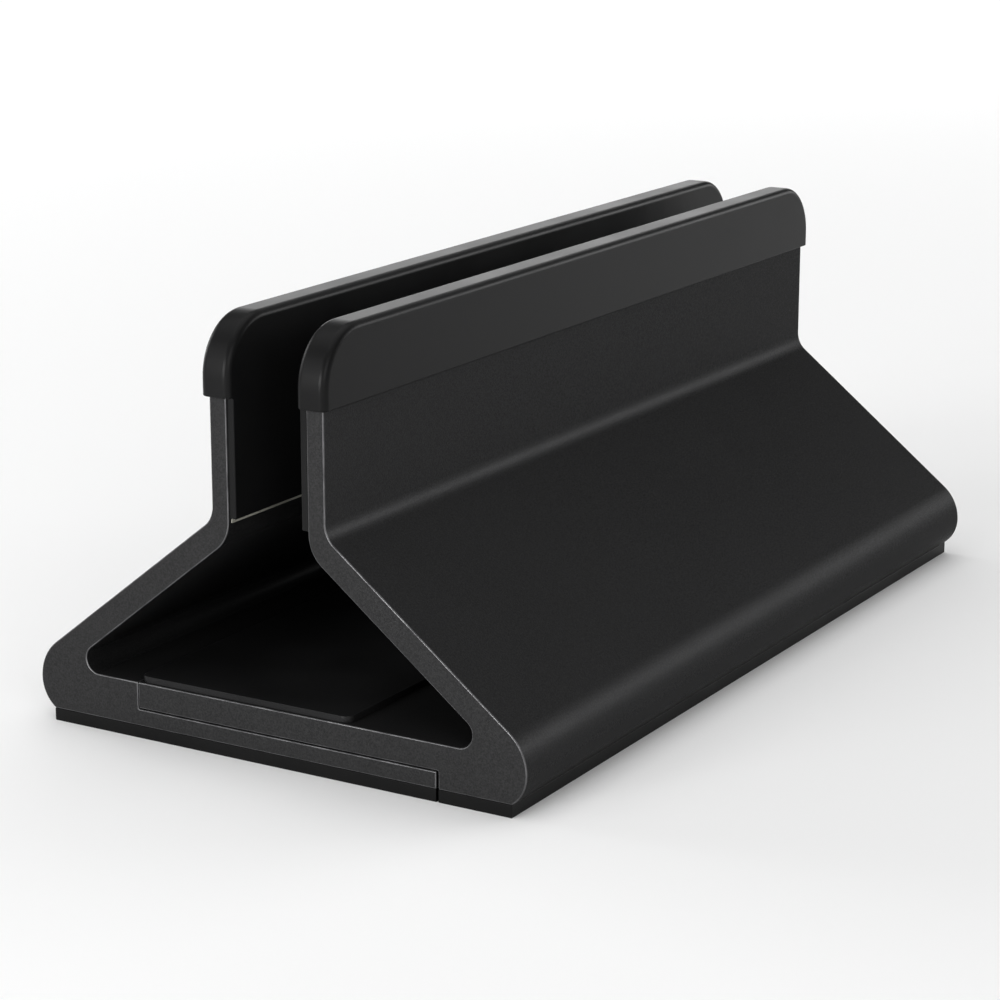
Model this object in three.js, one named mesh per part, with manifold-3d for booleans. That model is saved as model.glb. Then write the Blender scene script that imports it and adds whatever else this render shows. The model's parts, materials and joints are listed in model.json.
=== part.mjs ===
// Vertical laptop stand made of two black aluminium extrusions that lap over each other under the
// laptop slot. The sliding half moves along +X to widen the slot, and two screws from below clamp it.
// Millimetres, +Z up. The extrusions run along Y; the origin is at the middle of the underside.
import * as THREE from "three";
import { mergeVertices } from "three/addons/utils/BufferGeometryUtils.js";
import Module from "manifold-3d";

const wasm = await Module();
wasm.setup();

// ---- overall sizes ----
const LENGTH = 192.5; // both extrusions, along Y
const HEIGHT = 81; // desk to the top of the sleeves
const TOE_SPAN = 105.2; // across the widest point of both toes, along X
const SLOT_CLOSED = 14; // between the silicone faces with the halves pushed together
const SLOT_OPEN = 42; // between them with the halves pulled apart
const TRAVEL = SLOT_OPEN - SLOT_CLOSED;

// ---- base and laps, as heights above the desk ----
const FOOT_THICKNESS = 2.4; // silicone foot, which the aluminium stands on
const LOWER_TONGUE = 3.2; // thickness of the fixed half's tongue
const LAP_GAP = 0.2; // between the lower tongue and the upper one
const UPPER_TONGUE = 5; // thickness of the sliding half's tongue
const TONGUE_TOP = FOOT_THICKNESS + LOWER_TONGUE;
const UPPER_UNDERSIDE = TONGUE_TOP + LAP_GAP;
const FLOOR = UPPER_UNDERSIDE + UPPER_TONGUE; // floor of the hollow under the slot
const LOWER_TONGUE_REACH = 34.45; // the lower tongue ends this far to +X
const STEP_X = -30; // where the fixed half's floor steps down to its tongue
const STEP_GAP = 0.1; // between that step and the end of the upper tongue
const SHOULDER_GAP = 0.45; // between the lower tongue's end and the sliding half's shoulder
const FOOT_EDGE = 49.7; // outer long edge of each foot, from the middle

// ---- limbs: toe, slope and fin, the same on both halves ----
const FIN_THICKNESS = 3.55;
const SLOPE_THICKNESS = 4.9;
const SLOPE_ANGLE = THREE.MathUtils.degToRad(38.2); // above the horizontal
const BEND_HEIGHT = 44.4; // where the outer faces of slope and fin would meet
const BEND_OUTER_RADIUS = 4.8;
const BEND_INNER_RADIUS = 7;
const HOLLOW_CORNER_RADIUS = 2.7;
const TOE_RADIUS = 9.2; // from the slope down to the toe's widest point
const TOE_LOWER_RADIUS = 7; // from there to the underside
const TOE_CENTRE_LIFT = 5.7; // of the toe's widest point above the aluminium's underside
const END_CHAMFER = 0.3; // deburred edges of the sawn ends
const ARC_STEPS = 8;
const SPARE = 1; // how far a cutting shape reaches past what it cuts

// ---- silicone sleeves over the fins ----
const SKIRT_THICKNESS = 1.15; // outer side, top and ends
const FLAP_THICKNESS = 1.5; // inner side, the face that the laptop touches
const SKIRT_BOTTOM = 66.8; // lower edge of the outer skirt and the end walls
const FLAP_BOTTOM = 44.8; // lower edge of the inner flap
const SLEEVE_CORNER_RADIUS = 11; // of the rounded ends, seen from the side
const SLEEVE_EDGE_RADIUS = 1.4;
const SLEEVE_GAP = 0.1; // between the sleeve and the fin's outer side, top and ends

// ---- floor mat and adhesive films ----
const MAT_THICKNESS = 1.25;
const MAT_STEP_MARGIN = 0.15; // from the end of the upper tongue
const MAT_REACH = 16.3; // right-hand edge of the mat
const MAT_END_MARGIN = 0.5; // from the sawn ends
const MAT_CORNER_RADIUS = 1.8;
const FILM_THICKNESS = 0.2;
const FILM_MARGIN = 1.6; // film edge to pad edge
const FLAP_FILM_MARGIN = 0.8; // film edge to the flap's ends
const FLAP_FILM_SHOWS = 0.87; // how far the flap's film shows below the flap
const FILM_PLAY = 0.3; // around the film in its pocket

// ---- clamp screws ----
const SCREW_X = -6.5;
const SCREW_Y = 60; // each side of the middle
const THREAD_RADIUS = 2;
const SCREW_LENGTH = 6; // under the head
const HEAD_RADIUS = 3.8;
const HEAD_HEIGHT = 2.2;
const HEAD_FLAT_RADIUS = 2.1; // of the flat in the middle of the button head's face
const TIP_CHAMFER = 0.4;
const SOCKET_ACROSS_FLATS = 2.5;
const SOCKET_DEPTH = 1.3;
const WASHER_RADIUS = 4.5;
const WASHER_THICKNESS = 0.8;
const WASHER_BORE_RADIUS = 2.2;
const WEB_THICKNESS = 1.6; // aluminium left between the slot's wide part and the lap
const SLOT_SIDE_PLAY = 0.3; // each side of the screw in the narrow slot
const WIDE_SLOT_PLAY = 0.5; // each side of the washer in the wide slot
const FOOT_SLOT_PLAY = 0.6; // the foot's opening beyond the wide slot
const INSERT_RADIUS = 3.2;
const INSERT_FLANGE_RADIUS = 4.2;
const INSERT_FLANGE_THICKNESS = 1;
const INSERT_LENGTH = 4.6;
const INSERT_GAP = 0.15; // around the insert in its hole
const THREAD_GAP = 0.15; // around the screw in the insert
const ROUND_STEPS = 32;

// ---- worked out ----
const FIN_INNER = SLOT_CLOSED / 2 + FLAP_THICKNESS;
const FIN_OUTER = FIN_INNER + FIN_THICKNESS;
const SLEEVE_OUTER = FIN_OUTER + SKIRT_THICKNESS;
const FIN_TOP = HEIGHT - SKIRT_THICKNESS;
const SHOULDER_X = LOWER_TONGUE_REACH + SHOULDER_GAP;
const UPPER_TONGUE_END = STEP_X + STEP_GAP;
const SLOT_CEILING = TONGUE_TOP - WEB_THICKNESS;
const HEAD_SEAT = SLOT_CEILING - WASHER_THICKNESS;
const NARROW_SLOT_RADIUS = THREAD_RADIUS + SLOT_SIDE_PLAY;
const WIDE_SLOT_RADIUS = WASHER_RADIUS + WIDE_SLOT_PLAY;
const FOOT_SLOT_RADIUS = WIDE_SLOT_RADIUS + FOOT_SLOT_PLAY;
const FIXED_FOOT = [-FOOT_EDGE, LOWER_TONGUE_REACH];
const SLIDING_FOOT = [SHOULDER_X, FOOT_EDGE];
const FIN_CORNER_RADIUS = SLEEVE_CORNER_RADIUS - SKIRT_THICKNESS;

// ---- materials ----
const finish = (color, roughness, metalness) =>
  new THREE.MeshStandardMaterial({ color, roughness, metalness });
const ANODISED = finish(0x2f2f30, 0.45, 0.6);
const SILICONE = finish(0x1e1e1f, 0.7, 0);
const FOOT_SILICONE = finish(0x18181a, 0.85, 0);
const FILM = finish(0xe8e2cf, 0.6, 0);
const BLACK_STEEL = finish(0x2a2a2c, 0.4, 0.8);
const ZINC_STEEL = finish(0xb8babd, 0.35, 0.9);

// ---- solids ----
function solid(geometry) {
  const bare = geometry.clone();
  bare.deleteAttribute("normal");
  bare.deleteAttribute("uv");
  const merged = mergeVertices(bare, 1e-4);
  return new wasm.Manifold(
    new wasm.Mesh({
      numProp: 3,
      vertProperties: merged.attributes.position.array,
      triVerts: new Uint32Array(merged.index.array),
    }),
  );
}

function geometryOf(manifold) {
  const mesh = manifold.getMesh();
  const geometry = new THREE.BufferGeometry();
  geometry.setAttribute("position", new THREE.BufferAttribute(mesh.vertProperties, 3));
  geometry.setIndex(new THREE.BufferAttribute(mesh.triVerts, 1));
  geometry.computeVertexNormals();
  return geometry;
}

function named(name, geometry, material) {
  const mesh = new THREE.Mesh(geometry, material);
  mesh.name = name;
  return mesh;
}

const point = (x, y) => new THREE.Vector2(x, y);
const mirrored = (points) => points.map((p) => point(-p.x, p.y));

function box(xs, ys, zs) {
  const size = [xs, ys, zs].map(([low, high]) => high - low);
  const centre = [xs, ys, zs].map(([low, high]) => (low + high) / 2);
  return new THREE.BoxGeometry(...size).translate(...centre);
}

// A closed X-Z outline extruded along Y over the whole length, with chamfered ends.
function alongY(points) {
  const geometry = new THREE.ExtrudeGeometry(new THREE.Shape(points), {
    depth: LENGTH - 2 * END_CHAMFER,
    bevelThickness: END_CHAMFER,
    bevelSize: END_CHAMFER,
    bevelOffset: -END_CHAMFER,
    bevelSegments: 1,
  });
  return geometry.rotateX(Math.PI / 2).translate(0, LENGTH / 2 - END_CHAMFER, 0);
}

// An X-Y outline extruded upwards from z = low to z = high.
function alongZ(shape, low, high, curveSegments = ARC_STEPS) {
  const options = { depth: high - low, bevelEnabled: false, curveSegments };
  return new THREE.ExtrudeGeometry(shape, options).translate(0, 0, low);
}

// A Y-Z outline extruded along X from x = low to x = high, its long edges rounded when edgeRadius is given.
function alongX(shape, low, high, edgeRadius = 0) {
  const geometry = new THREE.ExtrudeGeometry(shape, {
    depth: high - low - 2 * edgeRadius,
    curveSegments: ARC_STEPS,
    bevelEnabled: edgeRadius > 0,
    bevelThickness: edgeRadius,
    bevelSize: edgeRadius,
    bevelOffset: -edgeRadius,
    bevelSegments: 3,
  });
  return geometry.rotateX(Math.PI / 2).rotateZ(Math.PI / 2).translate(low + edgeRadius, 0, 0);
}

// A rectangle with its corners rounded, or with square corners when the radius is 0.
function rectangle(x0, x1, y0, y1, radius = 0) {
  const shape = new THREE.Shape();
  if (radius === 0) {
    return shape.setFromPoints([point(x0, y0), point(x1, y0), point(x1, y1), point(x0, y1)]);
  }
  shape.absarc(x1 - radius, y0 + radius, radius, -Math.PI / 2, 0);
  shape.absarc(x1 - radius, y1 - radius, radius, 0, Math.PI / 2);
  shape.absarc(x0 + radius, y1 - radius, radius, Math.PI / 2, Math.PI);
  shape.absarc(x0 + radius, y0 + radius, radius, Math.PI, 1.5 * Math.PI);
  return shape;
}

function circle(radius) {
  return new THREE.Shape().absarc(0, 0, radius, 0, 2 * Math.PI);
}

// The track that a screw runs in: a slot with round ends, TRAVEL long between their centres.
function track(y, radius) {
  return rectangle(SCREW_X - radius, SCREW_X + TRAVEL + radius, y - radius, y + radius, radius);
}

function trackCutter(y, radius, low, high) {
  return solid(alongZ(track(y, radius), low, high));
}

// ---- limb outline ----
// Runs towards `corner`, then turns to `next` round an arc of that radius.
function turn(path, corner, next, radius) {
  const back = path.currentPoint.clone().sub(corner).normalize();
  const ahead = next.clone().sub(corner).normalize();
  const half = back.angleTo(ahead) / 2;
  const reach = radius / Math.tan(half);
  const bisector = back.clone().add(ahead).normalize();
  const centre = corner.clone().addScaledVector(bisector, radius / Math.sin(half));
  const start = corner.clone().addScaledVector(back, reach).sub(centre);
  const end = corner.clone().addScaledVector(ahead, reach).sub(centre);
  path.absarc(centre.x, centre.y, radius, start.angle(), end.angle(), start.cross(end) < 0);
}

// A limb's X-Z outline on the +X side, from the hollow's floor over the fin to the toe's underside.
function limbOutline() {
  const along = point(Math.cos(SLOPE_ANGLE), -Math.sin(SLOPE_ANGLE)); // down the slope
  const outward = point(Math.sin(SLOPE_ANGLE), Math.cos(SLOPE_ANGLE));
  const outerBend = point(FIN_OUTER, BEND_HEIGHT);
  const innerStart = outerBend.clone().addScaledVector(outward, -SLOPE_THICKNESS);
  const innerAt = (distance) => innerStart.clone().addScaledVector(along, distance);
  const innerBend = innerAt((FIN_INNER - innerStart.x) / along.x);
  const hollowCorner = innerAt((FLOOR - innerStart.y) / along.y);

  // The toe's upper arc leaves the slope's direction; both arcs reach half of TOE_SPAN out.
  const toeHeight = FOOT_THICKNESS + TOE_CENTRE_LIFT;
  const toeX = (radius) => TOE_SPAN / 2 - radius;
  const underside = -Math.asin(TOE_CENTRE_LIFT / TOE_LOWER_RADIUS);

  const path = new THREE.Path();
  path.moveTo(hollowCorner.x / 2, FLOOR);
  turn(path, hollowCorner, innerBend, HOLLOW_CORNER_RADIUS);
  turn(path, innerBend, point(FIN_INNER, FIN_TOP), BEND_INNER_RADIUS);
  path.lineTo(FIN_INNER, FIN_TOP);
  path.lineTo(FIN_OUTER, FIN_TOP);
  turn(path, outerBend, outerBend.clone().add(along), BEND_OUTER_RADIUS);
  path.absarc(toeX(TOE_RADIUS), toeHeight, TOE_RADIUS, outward.angle(), 0, true);
  path.absarc(toeX(TOE_LOWER_RADIUS), toeHeight, TOE_LOWER_RADIUS, 0, underside, true);
  return path.getPoints(ARC_STEPS);
}

// What the sleeve's rounded ends leave of the fins: everything below, and the fin within the arcs.
function finEnvelope() {
  const half = LENGTH / 2;
  const top = rectangle(-half, half, BEND_HEIGHT, FIN_TOP, FIN_CORNER_RADIUS);
  const below = box([-TOE_SPAN, TOE_SPAN], [-half, half], [0, SKIRT_BOTTOM]);
  return solid(alongX(top, -TOE_SPAN, TOE_SPAN)).add(solid(below));
}

// ---- extrusions ----
function fixedExtrusion() {
  const outline = [
    ...mirrored(limbOutline()),
    point(LOWER_TONGUE_REACH, FOOT_THICKNESS),
    point(LOWER_TONGUE_REACH, TONGUE_TOP),
    point(STEP_X, TONGUE_TOP),
    point(STEP_X, FLOOR),
  ];
  let body = solid(alongY(outline)).intersect(finEnvelope());
  for (const y of [-SCREW_Y, SCREW_Y]) {
    body = body.subtract(trackCutter(y, NARROW_SLOT_RADIUS, 0, UPPER_UNDERSIDE));
    body = body.subtract(trackCutter(y, WIDE_SLOT_RADIUS, 0, SLOT_CEILING));
  }
  return named("fixed_extrusion", geometryOf(body), ANODISED);
}

function slidingExtrusion() {
  const outline = [
    ...limbOutline(),
    point(SHOULDER_X, FOOT_THICKNESS),
    point(SHOULDER_X, UPPER_UNDERSIDE),
    point(UPPER_TONGUE_END, UPPER_UNDERSIDE),
    point(UPPER_TONGUE_END, FLOOR),
  ];
  let body = solid(alongY(outline)).intersect(finEnvelope());
  for (const y of [-SCREW_Y, SCREW_Y]) {
    body = body.subtract(insertHole(y));
  }
  return named("sliding_extrusion", geometryOf(body), ANODISED);
}

// ---- sleeves and their films ----
function sleeve(side, name) {
  const half = LENGTH / 2;
  const outerHalf = half + SKIRT_THICKNESS;
  const cavityHalf = half + SLEEVE_GAP;
  const cavityTop = FIN_TOP + SLEEVE_GAP;
  const inner = SLOT_CLOSED / 2;

  // Both outlines run down past the skirt's lower edge, so that only their upper corners are rounded.
  const outside = rectangle(-outerHalf, outerHalf, BEND_HEIGHT, HEIGHT, SLEEVE_CORNER_RADIUS);
  const cap = solid(alongX(outside, inner, SLEEVE_OUTER, SLEEVE_EDGE_RADIUS)).intersect(
    solid(box([0, TOE_SPAN], [-LENGTH, LENGTH], [SKIRT_BOTTOM, HEIGHT])),
  );
  const flap = solid(box([inner, FIN_INNER], [-half, half], [FLAP_BOTTOM, SKIRT_BOTTOM]));
  const cavity = rectangle(-cavityHalf, cavityHalf, BEND_HEIGHT, cavityTop, FIN_CORNER_RADIUS);
  const body = cap
    .subtract(solid(alongX(cavity, FIN_INNER, FIN_OUTER + SLEEVE_GAP)))
    .add(flap)
    .subtract(solid(flapFilmRoom()));
  return sided(side, named(name, geometryOf(body), SILICONE));
}

// The film that holds a flap, a thin line of which shows under the flap's lower edge.
function flapFilm() {
  const half = LENGTH / 2 - FLAP_FILM_MARGIN;
  const heights = [FLAP_BOTTOM - FLAP_FILM_SHOWS, SKIRT_BOTTOM];
  return box([FIN_INNER - FILM_THICKNESS, FIN_INNER], [-half, half], heights);
}

// The room behind a flap for its film, open at the flap's lower edge.
function flapFilmRoom() {
  const half = LENGTH / 2 - FLAP_FILM_MARGIN + FILM_PLAY;
  const heights = [FLAP_BOTTOM - SPARE, SKIRT_BOTTOM + FILM_PLAY];
  return box([FIN_INNER - FILM_THICKNESS, FIN_INNER + SPARE], [-half, half], heights);
}

// Leaves a mesh on the sliding side, +X, or turns it half a turn to the fixed side, -X.
function sided(side, mesh) {
  mesh.rotation.z = side > 0 ? 0 : Math.PI;
  return mesh;
}

// ---- feet, mat and their films ----
function screwOpenings(radius) {
  return [-SCREW_Y, SCREW_Y].map((y) => track(y, radius));
}

// A foot's outline, drawn in by `inset` all round, with the way in to both screws where it lies over them.
function footShape([x0, x1], hasOpenings, inset) {
  const half = LENGTH / 2 - inset;
  const shape = rectangle(x0 + inset, x1 - inset, -half, half);
  shape.holes = hasOpenings ? screwOpenings(FOOT_SLOT_RADIUS + inset) : [];
  return shape;
}

function foot(name, span, hasOpenings) {
  const film = footShape(span, hasOpenings, FILM_MARGIN - FILM_PLAY);
  const pocket = alongZ(film, FOOT_THICKNESS - FILM_THICKNESS, FOOT_THICKNESS + SPARE);
  const slab = alongZ(footShape(span, hasOpenings, 0), 0, FOOT_THICKNESS);
  return named(name, geometryOf(solid(slab).subtract(solid(pocket))), FOOT_SILICONE);
}

function footFilm(name, span, hasOpenings) {
  const shape = footShape(span, hasOpenings, FILM_MARGIN);
  return named(name, alongZ(shape, FOOT_THICKNESS - FILM_THICKNESS, FOOT_THICKNESS), FILM);
}

function matShape(inset) {
  const x0 = UPPER_TONGUE_END + MAT_STEP_MARGIN + inset;
  const half = LENGTH / 2 - MAT_END_MARGIN - inset;
  return rectangle(x0, MAT_REACH - inset, -half, half, MAT_CORNER_RADIUS);
}

function floorMat() {
  const slab = solid(alongZ(matShape(0), FLOOR, FLOOR + MAT_THICKNESS));
  const pocket = alongZ(matShape(FILM_MARGIN - FILM_PLAY), FLOOR - SPARE, FLOOR + FILM_THICKNESS);
  return named("floor_mat", geometryOf(slab.subtract(solid(pocket))), SILICONE);
}

function matFilm() {
  const film = alongZ(matShape(FILM_MARGIN), FLOOR, FLOOR + FILM_THICKNESS);
  return named("floor_mat_adhesive", film, FILM);
}

// ---- clamp hardware ----
function onScrewAxis(y, mesh) {
  mesh.position.set(SCREW_X, y, 0);
  return mesh;
}

function lathed(profile) {
  const points = profile.map(([radius, z]) => point(radius, z));
  return new THREE.LatheGeometry(points, ROUND_STEPS).rotateX(Math.PI / 2);
}

// The outside of a flanged insert on its own axis, grown by `gap`, between two heights.
function insertShape(gap, bottom, top) {
  const flange = FLOOR - INSERT_FLANGE_THICKNESS;
  return lathed([
    [0, bottom],
    [INSERT_RADIUS + gap, bottom],
    [INSERT_RADIUS + gap, flange],
    [INSERT_FLANGE_RADIUS + gap, flange],
    [INSERT_FLANGE_RADIUS + gap, top],
    [0, top],
  ]);
}

function insertHole(y) {
  const shape = insertShape(INSERT_GAP, UPPER_UNDERSIDE - SPARE, FLOOR + SPARE);
  return solid(shape.translate(SCREW_X, y, 0));
}

function threadInsert(y, name) {
  const hole = alongZ(circle(THREAD_RADIUS + THREAD_GAP), 0, HEIGHT, ROUND_STEPS / 2);
  const body = solid(insertShape(0, FLOOR - INSERT_LENGTH, FLOOR)).subtract(solid(hole));
  return onScrewAxis(y, named(name, geometryOf(body), ZINC_STEEL));
}

function washer(y, name) {
  const shape = circle(WASHER_RADIUS);
  shape.holes = [circle(WASHER_BORE_RADIUS)];
  const ring = alongZ(shape, HEAD_SEAT, SLOT_CEILING, ROUND_STEPS / 2);
  return onScrewAxis(y, named(name, ring, ZINC_STEEL));
}

// A button-head screw, head down, with a hexagon socket in the head.
function clampScrew(y, name) {
  const low = HEAD_SEAT - HEAD_HEIGHT;
  const tip = HEAD_SEAT + SCREW_LENGTH;
  const outside = lathed([
    [0, low],
    [HEAD_FLAT_RADIUS, low],
    [0.83 * HEAD_RADIUS, low + 0.3 * HEAD_HEIGHT],
    [0.97 * HEAD_RADIUS, low + 0.65 * HEAD_HEIGHT],
    [HEAD_RADIUS, HEAD_SEAT],
    [THREAD_RADIUS, HEAD_SEAT],
    [THREAD_RADIUS, tip - TIP_CHAMFER],
    [THREAD_RADIUS - TIP_CHAMFER, tip],
    [0, tip],
  ]);
  const corner = SOCKET_ACROSS_FLATS / Math.sqrt(3);
  const socket = new THREE.CylinderGeometry(corner, corner, 2 * SOCKET_DEPTH, 6);
  const body = solid(outside).subtract(solid(socket.rotateX(Math.PI / 2).translate(0, 0, low)));
  return onScrewAxis(y, named(name, geometryOf(body), BLACK_STEEL));
}

// ---- assembly ----
const fixedSide = new THREE.Group();
fixedSide.add(
  fixedExtrusion(),
  sleeve(-1, "fixed_sleeve"),
  sided(-1, named("fixed_flap_adhesive", flapFilm(), FILM)),
  foot("fixed_foot", FIXED_FOOT, true),
  footFilm("fixed_foot_adhesive", FIXED_FOOT, true),
);

const slidingSide = new THREE.Group();
slidingSide.add(
  slidingExtrusion(),
  sleeve(1, "sliding_sleeve"),
  sided(1, named("sliding_flap_adhesive", flapFilm(), FILM)),
  foot("sliding_foot", SLIDING_FOOT, false),
  footFilm("sliding_foot_adhesive", SLIDING_FOOT, false),
  floorMat(),
  matFilm(),
);

const hardware = new THREE.Group();
for (const [place, y] of [["front", -SCREW_Y], ["rear", SCREW_Y]]) {
  hardware.add(
    threadInsert(y, `${place}_thread_insert`),
    washer(y, `${place}_washer`),
    clampScrew(y, `${place}_clamp_screw`),
  );
}

const stand = new THREE.Group();
stand.add(fixedSide, slidingSide, hardware);

export default stand;
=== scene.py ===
import json
from math import asin, atan2, ceil, cos, pi, radians, sin, sqrt, tan

import bmesh
import bpy
from mathutils import Matrix, Vector


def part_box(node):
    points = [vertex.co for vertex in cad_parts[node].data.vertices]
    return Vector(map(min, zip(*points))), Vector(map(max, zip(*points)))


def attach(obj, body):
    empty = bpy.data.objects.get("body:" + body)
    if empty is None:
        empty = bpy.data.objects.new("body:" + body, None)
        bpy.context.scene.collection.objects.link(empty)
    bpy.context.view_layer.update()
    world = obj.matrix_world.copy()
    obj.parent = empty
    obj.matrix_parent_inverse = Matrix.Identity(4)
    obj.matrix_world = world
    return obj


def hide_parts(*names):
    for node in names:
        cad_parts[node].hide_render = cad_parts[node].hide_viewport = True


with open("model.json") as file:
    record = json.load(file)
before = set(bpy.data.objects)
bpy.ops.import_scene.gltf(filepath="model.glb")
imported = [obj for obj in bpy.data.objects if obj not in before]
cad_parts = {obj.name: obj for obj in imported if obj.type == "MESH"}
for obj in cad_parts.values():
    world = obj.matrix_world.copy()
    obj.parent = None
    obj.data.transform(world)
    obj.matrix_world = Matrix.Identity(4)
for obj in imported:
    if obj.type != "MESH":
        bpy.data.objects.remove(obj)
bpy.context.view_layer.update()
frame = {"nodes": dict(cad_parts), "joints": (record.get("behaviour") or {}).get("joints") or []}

MM = 0.001
SPARE = 5 * MM  # how far a cutter stands clear of what it cuts
OVERLAP = 1 * MM  # how far a cutter or a joined piece runs past a face

# ---- what the CAD says ----
FIXED_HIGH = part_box("fixed_extrusion")[1]
SLIDING_LOW, SLIDING_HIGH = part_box("sliding_extrusion")
SLEEVE_LOW, SLEEVE_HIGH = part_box("sliding_sleeve")
MAT_LOW, MAT_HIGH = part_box("floor_mat")
FIXED_FOOT_LOW, FIXED_FOOT_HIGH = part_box("fixed_foot")
SLIDING_FOOT_LOW, SLIDING_FOOT_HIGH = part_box("sliding_foot")
TRAVEL = next(j["range_m"][1] for j in frame["joints"] if j["name"] == "width_slide")
HALF = SLIDING_HIGH.y  # half the length of the extrusions
TOE_X = SLIDING_HIGH.x
FOOT_TOP = SLIDING_FOOT_HIGH.z
FLOOR = MAT_LOW.z  # floor of the hollow under the slot

# ---- limbs ----
LAP_GAP = 0.2 * MM
UPPER_TONGUE = 5 * MM
STEP_GAP = 0.1 * MM
FIN_THICKNESS = 3.55 * MM
SLOPE_THICKNESS = 4.9 * MM
SLOPE_ANGLE = radians(38.2)
BEND_HEIGHT = 44.4 * MM
BEND_OUTER_RADIUS = 4.8 * MM
BEND_INNER_RADIUS = 7 * MM
HOLLOW_CORNER_RADIUS = 2.7 * MM
TOE_RADIUS = 9.2 * MM
TOE_LOWER_RADIUS = 7 * MM
TOE_CENTRE_LIFT = 5.7 * MM
SAWN_EDGE = 0.22 * MM
ARC_STEP = radians(5)

# ---- sleeves ----
FLAP_THICKNESS = 1.5 * MM
SKIRT_THICKNESS = 1.15 * MM
SKIRT_BOTTOM = 66.8 * MM
SLEEVE_CORNER_RADIUS = 11 * MM
SLEEVE_EDGE_RADIUS = 1.4 * MM
SLEEVE_GAP = 0.1 * MM
LIP_RADIUS = 0.25 * MM

# ---- mat, feet and films ----
MAT_CORNER_RADIUS = 1.8 * MM
FILM_THICKNESS = 0.2 * MM
FILM_MARGIN = 1.6 * MM
FILM_PLAY = 0.3 * MM
PAD_EDGE = 0.1 * MM

# ---- clamp hardware ----
SCREW_LOW, SCREW_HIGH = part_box("front_clamp_screw")
WASHER_LOW, WASHER_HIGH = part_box("front_washer")
SCREW_X = (SCREW_LOW.x + SCREW_HIGH.x) / 2
SCREW_Y = -(SCREW_LOW.y + SCREW_HIGH.y) / 2
HEAD_RADIUS = (SCREW_HIGH.x - SCREW_LOW.x) / 2
WASHER_RADIUS = (WASHER_HIGH.x - WASHER_LOW.x) / 2
WASHER_BORE_RADIUS = 2.2 * MM
THREAD_RADIUS = 2 * MM
THREAD_PITCH = 0.7 * MM
THREAD_DEPTH = 0.35 * MM
SOCKET_ACROSS_FLATS = 2.5 * MM
SOCKET_DEPTH = 1.3 * MM
NARROW_SLOT_RADIUS = 2.3 * MM
WIDE_SLOT_RADIUS = 5 * MM
FOOT_SLOT_RADIUS = 5.6 * MM
SLOT_CEILING = WASHER_HIGH.z
HEAD_FLAT_RADIUS = 0.55 * HEAD_RADIUS
STEEL_EDGE = 0.08 * MM
SHANK_OVERLAP = 0.1 * MM  # how far the shank is sunk into the head
INSERT_GAP = 0.15 * MM
INSERT_FLANGE = 1 * MM  # the flange's width and its thickness

FIN_INNER = SLEEVE_LOW.x + FLAP_THICKNESS
FIN_OUTER = FIN_INNER + FIN_THICKNESS
UPPER_UNDERSIDE = FLOOR - UPPER_TONGUE
TONGUE_TOP = UPPER_UNDERSIDE - LAP_GAP
STEP_X = SLIDING_LOW.x - STEP_GAP


# ---- outlines ----
def arc(centre, radius, start, end):
    """Points round an arc, both ends included; it turns anticlockwise where end is above start."""
    steps = max(1, ceil(abs(end - start) / ARC_STEP))
    angles = [start + (end - start) * i / steps for i in range(steps + 1)]
    return [Vector((centre[0] + radius * cos(a), centre[1] + radius * sin(a))) for a in angles]


def fillet(before, corner, after, radius):
    """The arc that rounds a corner between two straight lines."""
    back = (before - corner).normalized()
    ahead = (after - corner).normalized()
    half = back.angle(ahead) / 2
    centre = corner + (back + ahead).normalized() * radius / sin(half)
    reach = radius / tan(half)
    first = corner + back * reach - centre
    last = corner + ahead * reach - centre
    start = atan2(first.y, first.x)
    sweep = first.angle(last)
    turns_left = first.x * last.y - first.y * last.x > 0
    return arc(centre, radius, start, start + (sweep if turns_left else -sweep))


def limb_outline():
    """X-Z outline of the sliding half's limb, from the hollow's floor over the fin to the underside."""
    along = Vector((cos(SLOPE_ANGLE), -sin(SLOPE_ANGLE)))
    outward = Vector((sin(SLOPE_ANGLE), cos(SLOPE_ANGLE)))
    outer_bend = Vector((FIN_OUTER, BEND_HEIGHT))
    inner_start = outer_bend - outward * SLOPE_THICKNESS
    inner_bend = inner_start + along * ((FIN_INNER - inner_start.x) / along.x)
    hollow_corner = inner_start + along * ((FLOOR - inner_start.y) / along.y)
    fin_top = SLIDING_HIGH.z
    toe_height = FOOT_TOP + TOE_CENTRE_LIFT
    underside = -asin(TOE_CENTRE_LIFT / TOE_LOWER_RADIUS)
    slope_normal = atan2(outward.y, outward.x)
    return [
        *fillet(Vector((0, FLOOR)), hollow_corner, inner_bend, HOLLOW_CORNER_RADIUS),
        *fillet(hollow_corner, inner_bend, Vector((FIN_INNER, fin_top)), BEND_INNER_RADIUS),
        Vector((FIN_INNER, fin_top)),
        Vector((FIN_OUTER, fin_top)),
        *fillet(Vector((FIN_OUTER, fin_top)), outer_bend, outer_bend + along, BEND_OUTER_RADIUS),
        *arc((TOE_X - TOE_RADIUS, toe_height), TOE_RADIUS, slope_normal, 0),
        *arc((TOE_X - TOE_LOWER_RADIUS, toe_height), TOE_LOWER_RADIUS, 0, underside),
    ]


def rounded_rectangle(x0, x1, y0, y1, radius):
    corners = [(x1, y0, -90), (x1, y1, 0), (x0, y1, 90), (x0, y0, 180)]
    points = []
    for x, y, degrees in corners:
        centre = (x - radius if x == x1 else x + radius, y + radius if y == y0 else y - radius)
        start = radians(degrees)
        points += arc(centre, radius, start, start + pi / 2)
    return points


def screw_track(y, radius):
    return rounded_rectangle(SCREW_X - radius, SCREW_X + TRAVEL + radius, y - radius, y + radius, radius)


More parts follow.
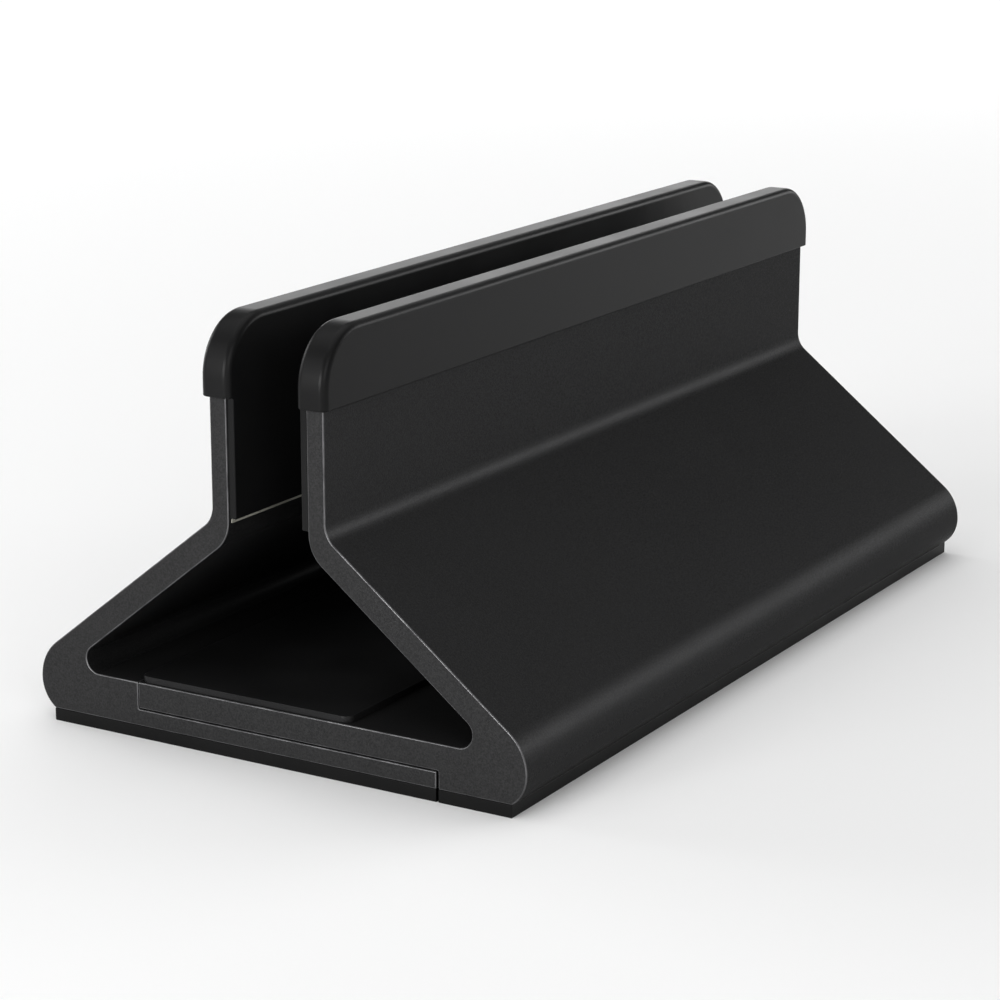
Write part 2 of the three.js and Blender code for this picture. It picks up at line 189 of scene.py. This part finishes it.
# ---- meshes ----
def new_object(name, vertices, faces):
    mesh = bpy.data.meshes.new(name)
    mesh.from_pydata(vertices, [], faces)
    bm = bmesh.new()
    bm.from_mesh(mesh)
    bmesh.ops.remove_doubles(bm, verts=bm.verts, dist=1e-7)
    bmesh.ops.recalc_face_normals(bm, faces=bm.faces)
    bm.to_mesh(mesh)
    bm.free()
    piece = bpy.data.objects.new(name, mesh)
    bpy.context.scene.collection.objects.link(piece)
    return piece


def prism(name, outline, low, high, axis):
    """A closed outline extruded along an axis: X takes Y-Z outlines, Y takes X-Z and Z takes X-Y."""
    place = {
        "X": lambda p, w: (w, p[0], p[1]),
        "Y": lambda p, w: (p[0], w, p[1]),
        "Z": lambda p, w: (p[0], p[1], w),
    }[axis]
    count = len(outline)
    vertices = [place(p, w) for w in (low, high) for p in outline]
    sides = [(i, (i + 1) % count, count + (i + 1) % count, count + i) for i in range(count)]
    caps = [tuple(range(count)), tuple(range(count, 2 * count))]
    return new_object(name, vertices, sides + caps)


def block(name, xs, ys, zs):
    corners = [(xs[0], ys[0]), (xs[1], ys[0]), (xs[1], ys[1]), (xs[0], ys[1])]
    return prism(name, corners, *zs, "Z")


def lathe(name, profile, centre, segments=64):
    """A closed profile of (radius, z) turned about a vertical axis."""
    rows = len(profile)
    vertices = []
    for i in range(segments):
        angle = 2 * pi * i / segments
        vertices += [(centre[0] + r * cos(angle), centre[1] + r * sin(angle), z) for r, z in profile]
    faces = []
    for i in range(segments):
        j = (i + 1) % segments
        for k in range(rows):
            n = (k + 1) % rows
            faces.append((i * rows + k, j * rows + k, j * rows + n, i * rows + n))
    return new_object(name, vertices, faces)


def combine(piece, tool, operation):
    """Cuts the tool out of the piece, or joins it on, and drops the tool."""
    modifier = piece.modifiers.new("combine", "BOOLEAN")
    modifier.operation = operation
    modifier.solver = "EXACT"
    modifier.object = tool
    bpy.context.view_layer.update()
    evaluated = piece.evaluated_get(bpy.context.evaluated_depsgraph_get())
    mesh = bpy.data.meshes.new_from_object(evaluated)
    piece.modifiers.clear()
    piece.data = mesh
    bpy.data.objects.remove(tool)
    return piece


def soften(piece, radius, above=30):
    """Rounds the sharp edges and shades the curved faces smoothly."""
    for polygon in piece.data.polygons:
        polygon.use_smooth = True
    bevel = piece.modifiers.new("rounded edges", "BEVEL")
    bevel.width = radius
    bevel.segments = 2
    bevel.limit_method = "ANGLE"
    bevel.angle_limit = radians(above)
    bevel.use_clamp_overlap = False
    bevel.miter_outer = "MITER_ARC"
    bevel.harden_normals = False
    normals = piece.modifiers.new("flat faces stay flat", "WEIGHTED_NORMAL")
    normals.weight = 100
    normals.keep_sharp = False
    return piece


def turned_round(piece):
    """The same piece on the fixed side, turned half a turn about the vertical."""
    piece.data.transform(Matrix.Rotation(pi, 4, "Z"))
    return piece


# ---- node helpers ----
def new_material(name):
    material = bpy.data.materials.new(name)
    material.use_nodes = True
    return material, material.node_tree.nodes, material.node_tree.links


def noise(nodes, links, scale, detail):
    """Noise fixed to the piece; scale is in features per metre."""
    coordinates = nodes.new("ShaderNodeTexCoord")
    texture = nodes.new("ShaderNodeTexNoise")
    texture.inputs["Scale"].default_value = scale
    texture.inputs["Detail"].default_value = detail
    links.new(coordinates.outputs["Object"], texture.inputs["Vector"])
    return texture.outputs["Fac"]


def between(nodes, links, factor, low, high, spread=(0.35, 0.65)):
    """Maps a noise factor to a range of values."""
    ramp = nodes.new("ShaderNodeMapRange")
    ramp.inputs["From Min"].default_value = spread[0]
    ramp.inputs["From Max"].default_value = spread[1]
    ramp.inputs["To Min"].default_value = low
    ramp.inputs["To Max"].default_value = high
    links.new(factor, ramp.inputs["Value"])
    return ramp.outputs["Result"]


def shade(nodes, links, factor, dark, light, spread=(0.35, 0.65)):
    """Mixes two greys or colours by a noise factor."""
    ramp = nodes.new("ShaderNodeValToRGB")
    ramp.color_ramp.elements[0].position = spread[0]
    ramp.color_ramp.elements[0].color = (*dark, 1)
    ramp.color_ramp.elements[1].position = spread[1]
    ramp.color_ramp.elements[1].color = (*light, 1)
    links.new(factor, ramp.inputs["Fac"])
    return ramp.outputs["Color"]


def bump(nodes, links, height, distance, strength):
    node = nodes.new("ShaderNodeBump")
    node.inputs["Distance"].default_value = distance
    node.inputs["Strength"].default_value = strength
    links.new(height, node.inputs["Height"])
    return node.outputs["Normal"]


# ---- materials ----
def blasted_anodised_aluminium():
    """Fine blasted grain under black anodising, with a slight cloudiness in its gloss."""
    material, nodes, links = new_material("blasted black anodised aluminium")
    shader = nodes["Principled BSDF"]
    shader.inputs["Metallic"].default_value = 0.6
    shader.inputs["Specular IOR Level"].default_value = 0.1
    shader.inputs["Specular Tint"].default_value = (0.25, 0.25, 0.25, 1)
    grain = noise(nodes, links, 3600, 3)
    cloud = noise(nodes, links, 45, 2)
    colour = shade(nodes, links, grain, (0.024, 0.024, 0.0245), (0.037, 0.037, 0.0375))
    links.new(colour, shader.inputs["Base Color"])
    links.new(between(nodes, links, cloud, 0.38, 0.42), shader.inputs["Roughness"])
    links.new(bump(nodes, links, grain, 0.05 * MM, 0.5), shader.inputs["Normal"])
    return material


def edge_highlight_and_wear():
    """Sawn and deburred edges: a lighter, more metallic strip that is a painted highlight along every
    edge, and partly anodising rubbed thin where the metal shows through.
    """
    material, nodes, links = new_material("rubbed anodised edge")
    shader = nodes["Principled BSDF"]
    shader.inputs["Metallic"].default_value = 0.85
    edge_patchiness = noise(nodes, links, 220, 4)
    grain = noise(nodes, links, 3600, 3)
    # Lighter grey than the faces: painted highlight along the edges, with patchy rubbed wear.
    colour = shade(nodes, links, edge_patchiness, (0.07, 0.07, 0.072), (0.15, 0.15, 0.153))
    links.new(colour, shader.inputs["Base Color"])
    links.new(between(nodes, links, edge_patchiness, 0.42, 0.34), shader.inputs["Roughness"])
    links.new(bump(nodes, links, grain, 0.02 * MM, 0.5), shader.inputs["Normal"])
    return material


def satin_silicone(name, dark, light, roughness, gloss, grain_height):
    """Moulded black silicone: an even satin skin with a trace of mould texture."""
    material, nodes, links = new_material(name)
    shader = nodes["Principled BSDF"]
    shader.inputs["Specular IOR Level"].default_value = gloss
    grain = noise(nodes, links, 2600, 2)
    cloud = noise(nodes, links, 60, 3)
    links.new(shade(nodes, links, cloud, dark, light), shader.inputs["Base Color"])
    links.new(between(nodes, links, cloud, *roughness), shader.inputs["Roughness"])
    links.new(bump(nodes, links, grain, grain_height, 0.4), shader.inputs["Normal"])
    return material


def adhesive_film():
    """Cloudy, slightly yellow transfer adhesive."""
    material, nodes, links = new_material("transfer adhesive")
    shader = nodes["Principled BSDF"]
    shader.inputs["Roughness"].default_value = 0.55
    cloud = noise(nodes, links, 300, 4)
    # The pale colour is the film's own; where its edge shows below the flaps it stands in for a thin
    # highlight line there: painted highlight.
    colour = shade(nodes, links, cloud, (0.36, 0.35, 0.30), (0.48, 0.47, 0.41))
    links.new(colour, shader.inputs["Base Color"])
    links.new(bump(nodes, links, cloud, 0.05 * MM, 0.3), shader.inputs["Normal"])
    return material


def steel(name, dark, light, roughness):
    """Coated or plated steel, with a fine even grain."""
    material, nodes, links = new_material(name)
    shader = nodes["Principled BSDF"]
    shader.inputs["Metallic"].default_value = 1
    grain = noise(nodes, links, 5000, 3)
    cloud = noise(nodes, links, 400, 2)
    links.new(shade(nodes, links, cloud, dark, light), shader.inputs["Base Color"])
    links.new(between(nodes, links, cloud, *roughness), shader.inputs["Roughness"])
    links.new(bump(nodes, links, grain, 0.01 * MM, 0.4), shader.inputs["Normal"])
    return material


ANODISED = blasted_anodised_aluminium()
EDGE_HIGHLIGHT_AND_WEAR = edge_highlight_and_wear()
SLEEVE_SILICONE = satin_silicone(
    "satin silicone", (0.0058, 0.0058, 0.0060), (0.0072, 0.0072, 0.0074), (0.34, 0.38), 0.1, 0.006 * MM)
# The mat is the sleeves' silicone; its paler base colour is painted light, making up for the shade in the
# hollow.
LIGHTENED_MAT_SILICONE = satin_silicone(
    "mat silicone", (0.0090, 0.0090, 0.0093), (0.0120, 0.0120, 0.0123), (0.32, 0.37), 0.13, 0.006 * MM)
PAD_SILICONE = satin_silicone(
    "pad silicone", (0.0006, 0.0006, 0.0006), (0.0011, 0.0011, 0.0011), (0.42, 0.50), 0.14, 0.015 * MM)
ADHESIVE = adhesive_film()
BLACK_STEEL = steel("black oxide steel", (0.018, 0.018, 0.019), (0.040, 0.040, 0.042), (0.32, 0.42))
ZINC_STEEL = steel("zinc plated steel", (0.50, 0.51, 0.53), (0.62, 0.63, 0.65), (0.24, 0.34))


def fit_out(piece, material, body, slot, *nodes):
    """Gives a finished piece its material and its body, and hides the CAD nodes that it stands for."""
    piece.data.materials.clear()
    piece.data.materials.append(material)
    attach(piece, body)
    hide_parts(*nodes)
    return piece


# ---- extrusions ----
def extrusion(piece, body, node):
    """Finishes one half: deburred edges, with the lighter edge material (painted highlight and rubbed
    metal) on the bevels only.
    """
    soften(piece, SAWN_EDGE)
    # The bevels take the edge material: a painted highlight along every edge, partly rubbed wear.
    piece.modifiers["rounded edges"].material = 1
    fit_out(piece, ANODISED, body, "anodised_aluminium", node)
    piece.data.materials.append(EDGE_HIGHLIGHT_AND_WEAR)
    return piece


def fin_corner_cutter(end):
    """What rounds a fin's top corner at one end, under the sleeve; end is -1 or 1."""
    radius = SLEEVE_CORNER_RADIUS - SKIRT_THICKNESS
    top = SLIDING_HIGH.z
    curve = arc((HALF - radius, top - radius), radius, 0, pi / 2)
    outside = [(HALF - radius, top + SPARE), (HALF + SPARE, top + SPARE), (HALF + SPARE, top - radius)]
    outline = [*curve, *outside]
    return prism("cutter", [(end * p[0], p[1]) for p in outline], -2 * TOE_X, 2 * TOE_X, "X")


def sliding_half():
    shoulder = SLIDING_FOOT_LOW.x
    outline = [
        *limb_outline(),
        Vector((shoulder, FOOT_TOP)),
        Vector((shoulder, UPPER_UNDERSIDE)),
        Vector((SLIDING_LOW.x, UPPER_UNDERSIDE)),
        Vector((SLIDING_LOW.x, FLOOR)),
    ]
    piece = prism("sliding_half", outline, -HALF, HALF, "Y")
    for end in (-1, 1):
        combine(piece, fin_corner_cutter(end), "DIFFERENCE")
        combine(piece, insert_hole(end * SCREW_Y), "DIFFERENCE")
    return extrusion(piece, "sliding_side", "sliding_extrusion")


def insert_hole(y):
    """What clears a flanged insert in the upper tongue, open at both faces."""
    low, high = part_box("front_thread_insert")
    bottom = low.z - SPARE
    top = FLOOR + OVERLAP
    seat = FLOOR - INSERT_FLANGE
    flange = (high.x - low.x) / 2 + INSERT_GAP
    barrel = flange - INSERT_FLANGE
    profile = [(0, bottom), (barrel, bottom), (barrel, seat), (flange, seat), (flange, top), (0, top)]
    return lathe("cutter", profile, (SCREW_X, y), 48)


def fixed_half():
    outline = [
        *[Vector((-p.x, p.y)) for p in limb_outline()],
        Vector((FIXED_HIGH.x, FOOT_TOP)),
        Vector((FIXED_HIGH.x, TONGUE_TOP)),
        Vector((STEP_X, TONGUE_TOP)),
        Vector((STEP_X, FLOOR)),
    ]
    piece = prism("fixed_half", outline, -HALF, HALF, "Y")
    for end in (-1, 1):
        combine(piece, fin_corner_cutter(end), "DIFFERENCE")
        for radius, ceiling in ((NARROW_SLOT_RADIUS, UPPER_UNDERSIDE), (WIDE_SLOT_RADIUS, SLOT_CEILING)):
            track = screw_track(end * SCREW_Y, radius)
            combine(piece, prism("cutter", track, 0, ceiling, "Z"), "DIFFERENCE")
    return extrusion(piece, "fixed_side", "fixed_extrusion")


# ---- sleeves ----
def sleeve_ring(inset, x):
    """The sleeve's outline at one depth of its rounded edge: up one end, over the top, down the other."""
    half = SLEEVE_HIGH.y - inset
    top = SLEEVE_HIGH.z - inset
    radius = SLEEVE_CORNER_RADIUS - inset
    front = arc((-half + radius, top - radius), radius, pi, pi / 2)
    rear = arc((half - radius, top - radius), radius, pi / 2, 0)
    points = [(-half, SKIRT_BOTTOM), *front, *rear, (half, SKIRT_BOTTOM)]
    return [(x, p[0], p[1]) for p in points]


def sleeve_shell(name):
    """The solid outer shape: outlines stacked through the wall, with a rounded edge on both sides."""
    steps = 8
    outer, inner = SLEEVE_HIGH.x, SLEEVE_LOW.x
    r = SLEEVE_EDGE_RADIUS
    turns = [pi / 2 * i / steps for i in range(steps + 1)]
    rings = [sleeve_ring(r * (1 - sin(a)), outer - r * (1 - cos(a))) for a in turns]
    rings += [sleeve_ring(r * (1 - sin(a)), inner + r * (1 - cos(a))) for a in reversed(turns)]
    count = len(rings[0])
    vertices = [v for ring in rings for v in ring]
    faces = []
    for k in range(len(rings) - 1):
        for i in range(count - 1):
            a = k * count + i
            faces.append((a, a + 1, a + count + 1, a + count))
    last = (len(rings) - 1) * count
    faces.append(tuple(range(count)))
    faces.append(tuple(range(last, last + count)))
    front = [k * count for k in range(len(rings))]
    rear = [k * count + count - 1 for k in reversed(range(len(rings)))]
    faces.append(tuple(front + rear))
    return new_object(name, vertices, faces)


def fin_room():
    """What makes room for the fin inside the sleeve."""
    half = HALF + SLEEVE_GAP
    top = SLIDING_HIGH.z + SLEEVE_GAP
    radius = SLEEVE_CORNER_RADIUS - SKIRT_THICKNESS
    outline = [
        (-half, SKIRT_BOTTOM - SPARE),
        *arc((-half + radius, top - radius), radius, pi, pi / 2),
        *arc((half - radius, top - radius), radius, pi / 2, 0),
        (half, SKIRT_BOTTOM - SPARE),
    ]
    return prism("cutter", outline, FIN_INNER, FIN_OUTER + SLEEVE_GAP, "X")


def flap():
    """The lining that hangs down the slot side of the fin."""
    half = SLEEVE_HIGH.y - SLEEVE_EDGE_RADIUS
    heights = (SLEEVE_LOW.z, SKIRT_BOTTOM + OVERLAP)
    return block("flap", (SLEEVE_LOW.x, FIN_INNER), (-half, half), heights)


def film_room():
    """The shallow pocket behind the flap, which is open below; the pale film's lower edge shows under the
    flap as a thin light line, a painted highlight there.
    """
    low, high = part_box("sliding_flap_adhesive")
    depth = (FIN_INNER - FILM_THICKNESS, FIN_INNER + OVERLAP)
    length = (low.y - FILM_PLAY, high.y + FILM_PLAY)
    heights = (SLEEVE_LOW.z - OVERLAP, SKIRT_BOTTOM + FILM_PLAY)
    return block("cutter", depth, length, heights)


def sleeve(name):
    piece = sleeve_shell(name)
    combine(piece, fin_room(), "DIFFERENCE")
    combine(piece, flap(), "UNION")
    combine(piece, film_room(), "DIFFERENCE")
    return soften(piece, LIP_RADIUS, above=50)


def sleeves():
    fit_out(sleeve("sliding_grip"), SLEEVE_SILICONE, "sliding_side", "sleeve_silicone", "sliding_sleeve")
    fixed = turned_round(sleeve("fixed_grip"))
    fit_out(fixed, SLEEVE_SILICONE, "fixed_side", "sleeve_silicone", "fixed_sleeve")


# ---- mat and feet ----
def laptop_mat():
    outline = rounded_rectangle(MAT_LOW.x, MAT_HIGH.x, MAT_LOW.y, MAT_HIGH.y, MAT_CORNER_RADIUS)
    piece = prism("laptop_mat", outline, MAT_LOW.z, MAT_HIGH.z, "Z")
    inset = FILM_MARGIN - FILM_PLAY
    width = (MAT_LOW.x + inset, MAT_HIGH.x - inset)
    length = (MAT_LOW.y + inset, MAT_HIGH.y - inset)
    pocket = block("cutter", width, length, (MAT_LOW.z - OVERLAP, MAT_LOW.z + FILM_THICKNESS))
    combine(piece, pocket, "DIFFERENCE")
    soften(piece, PAD_EDGE)
    return fit_out(piece, LIGHTENED_MAT_SILICONE, "sliding_side", "sleeve_silicone", "floor_mat")


def base_pad(name, low, high, openings):
    piece = block(name, (low.x, high.x), (low.y, high.y), (low.z, high.z))
    for y in openings:
        track = screw_track(y, FOOT_SLOT_RADIUS)
        combine(piece, prism("cutter", track, -OVERLAP, FOOT_TOP + OVERLAP, "Z"), "DIFFERENCE")
    return soften(piece, PAD_EDGE)


def base_pads():
    fixed = base_pad("fixed_base_pad", FIXED_FOOT_LOW, FIXED_FOOT_HIGH, (-SCREW_Y, SCREW_Y))
    fit_out(fixed, PAD_SILICONE, "fixed_side", "foot_silicone", "fixed_foot")
    sliding = base_pad("sliding_base_pad", SLIDING_FOOT_LOW, SLIDING_FOOT_HIGH, ())
    fit_out(sliding, PAD_SILICONE, "sliding_side", "foot_silicone", "sliding_foot")


# ---- hardware ----
def threaded_shank(centre, low, high):
    """A helical M4 thread with a chamfered tip."""
    around, per_pitch = 40, 8
    rows = ceil((high - low) / THREAD_PITCH * per_pitch)
    vertices, faces = [], []
    for k in range(rows + 1):
        z = low + (high - low) * k / rows
        for i in range(around):
            turn = i / around
            phase = ((z - low) / THREAD_PITCH + turn) % 1
            groove = THREAD_DEPTH * abs(2 * phase - 1)
            taper = max(0, THREAD_DEPTH - (high - z))
            r = THREAD_RADIUS - max(groove, taper)
            angle = 2 * pi * turn
            vertices.append((centre[0] + r * cos(angle), centre[1] + r * sin(angle), z))
    for k in range(rows):
        for i in range(around):
            j = (i + 1) % around
            faces.append((k * around + i, k * around + j, (k + 1) * around + j, (k + 1) * around + i))
    faces.append(tuple(range(around)))
    faces.append(tuple(range(rows * around, (rows + 1) * around)))
    return new_object("shank", vertices, faces)


def button_screw(place, y):
    low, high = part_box(f"{place}_clamp_screw")
    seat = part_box(f"{place}_washer")[0].z
    rise = seat - low.z
    steps = 8
    dome = []
    for i in range(steps + 1):
        angle = pi / 2 * i / steps
        radius = HEAD_FLAT_RADIUS + (HEAD_RADIUS - HEAD_FLAT_RADIUS) * sin(angle)
        dome.append((radius, low.z + rise * (1 - cos(angle))))
    head = lathe(f"{place}_button_screw", [(0, low.z), *dome, (0, seat)], (SCREW_X, y))
    corner = SOCKET_ACROSS_FLATS / sqrt(3)
    hexagon = [(SCREW_X + corner * cos(i * pi / 3), y + corner * sin(i * pi / 3)) for i in range(6)]
    combine(head, prism("cutter", hexagon, low.z - OVERLAP, low.z + SOCKET_DEPTH, "Z"), "DIFFERENCE")
    combine(head, threaded_shank((SCREW_X, y), seat - SHANK_OVERLAP, high.z), "UNION")
    soften(head, STEEL_EDGE, above=50)
    return fit_out(head, BLACK_STEEL, f"{place}_screw", "black_steel", f"{place}_clamp_screw")


def flat_washer(place, y):
    low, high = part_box(f"{place}_washer")
    inner, outer = WASHER_BORE_RADIUS, WASHER_RADIUS
    profile = [(inner, low.z), (outer, low.z), (outer, high.z), (inner, high.z)]
    piece = soften(lathe(f"{place}_flat_washer", profile, (SCREW_X, y)), STEEL_EDGE)
    return fit_out(piece, ZINC_STEEL, f"{place}_washer", "zinc_steel", f"{place}_washer")


def carried_over_nodes():
    """CAD nodes whose shape is right: the films and the inserts."""
    for name, node in frame["nodes"].items():
        for ending, material in (("_adhesive", ADHESIVE), ("_insert", ZINC_STEEL)):
            if name.endswith(ending):
                node.data.materials.clear()
                node.data.materials.append(material)


# ---- camera, floor and lights ----
CAMERA_AT = Vector((283.66 * MM, -HALF - 397.13 * MM, 179.37 * MM))
CAMERA_AZIMUTH = radians(30.76)
CAMERA_DROP = radians(14.95)
CAMERA_ROLL = radians(0.03)
CAMERA_LENS = 103.70
FLOOR_REACH = 40  # metres each way, so that its edge is far off


def aim(thing, forward, roll=0.0):
    facing = forward.to_track_quat("-Z", "Y").to_matrix()
    thing.rotation_euler = (facing @ Matrix.Rotation(roll, 3, "Z")).to_euler()


def camera():
    data = bpy.data.cameras.new("camera")
    data.lens = CAMERA_LENS
    data.sensor_width = 36
    data.clip_start = 0.01
    data.dof.use_dof = False
    thing = bpy.data.objects.new("camera", data)
    bpy.context.scene.collection.objects.link(thing)
    thing.location = CAMERA_AT
    level = cos(CAMERA_DROP)
    forward = Vector((-sin(CAMERA_AZIMUTH) * level, cos(CAMERA_AZIMUTH) * level, -sin(CAMERA_DROP)))
    aim(thing, forward, CAMERA_ROLL)
    bpy.context.scene.camera = thing


def softbox(name, at, target, size, power):
    data = bpy.data.lights.new(name, "AREA")
    data.shape = "RECTANGLE"
    data.size, data.size_y = size
    data.energy = power
    thing = bpy.data.objects.new(name, data)
    bpy.context.scene.collection.objects.link(thing)
    thing.location = at
    aim(thing, Vector(target) - Vector(at))


def floor():
    material, nodes, links = new_material("pale floor")
    shader = nodes["Principled BSDF"]
    shader.inputs["Roughness"].default_value = 0.9
    shader.inputs["Specular IOR Level"].default_value = 0.2
    shader.inputs["Base Color"].default_value = (0.92, 0.92, 0.92, 1)
    r = FLOOR_REACH
    plane = new_object("floor", [(-r, -r, 0), (r, -r, 0), (r, r, 0), (-r, r, 0)], [(0, 1, 2, 3)])
    plane.data.materials.append(material)


def ceiling_light(strength):
    """A very wide soft light from above, which lights the floor evenly out to the horizon."""
    data = bpy.data.lights.new("ceiling", "SUN")
    data.energy = strength
    data.angle = radians(70)
    thing = bpy.data.objects.new("ceiling", data)
    bpy.context.scene.collection.objects.link(thing)
    aim(thing, Vector((0.05, -0.1, -1)))


def room():
    """Dim surroundings that are paler near the horizon, where the floor ends."""
    world = bpy.data.worlds.new("studio")
    bpy.context.scene.world = world
    world.use_nodes = True
    nodes, links = world.node_tree.nodes, world.node_tree.links
    direction = nodes.new("ShaderNodeTexCoord")
    split = nodes.new("ShaderNodeSeparateXYZ")
    links.new(direction.outputs["Generated"], split.inputs["Vector"])
    pale, dim = (0.46, 0.46, 0.46), (0.115, 0.115, 0.115)
    colour = shade(nodes, links, split.outputs["Z"], pale, dim, (0.06, 0.16))
    links.new(colour, nodes["Background"].inputs["Color"])


def studio():
    room()
    ceiling_light(1.3)
    softbox("front low", (-0.25, -1.5, 0.3), (0, 0, 0.03), (0.8, 0.4), 16)
    softbox("front left", (-0.9, -1.3, 0.8), (0, 0, 0.03), (0.9, 0.9), 4.2)
    softbox("front right", (1.1, -1.0, 0.6), (0, 0, 0.03), (0.8, 0.8), 6.4)
    softbox("back left", (-0.78, 1.30, 0.46), (0, 0, 0.05), (1.0, 0.5), 3.4)
    softbox("back right", (0.85, 1.35, 0.42), (0, 0, 0.03), (1.3, 0.38), 7.8)
    softbox("left", (-1.5, 0.0, 0.5), (0, 0, 0.03), (0.8, 0.8), 9.5)
    softbox("back high", (0.2, 1.3, 1.1), (0, 0, 0.03), (1.2, 0.6), 0.9)
    bpy.context.scene.view_settings.view_transform = "Standard"


camera()
floor()
studio()
fixed_half()
sliding_half()
sleeves()
laptop_mat()
base_pads()
for place, side in (("front", -1), ("rear", 1)):
    flat_washer(place, side * SCREW_Y)
    button_screw(place, side * SCREW_Y)
carried_over_nodes()
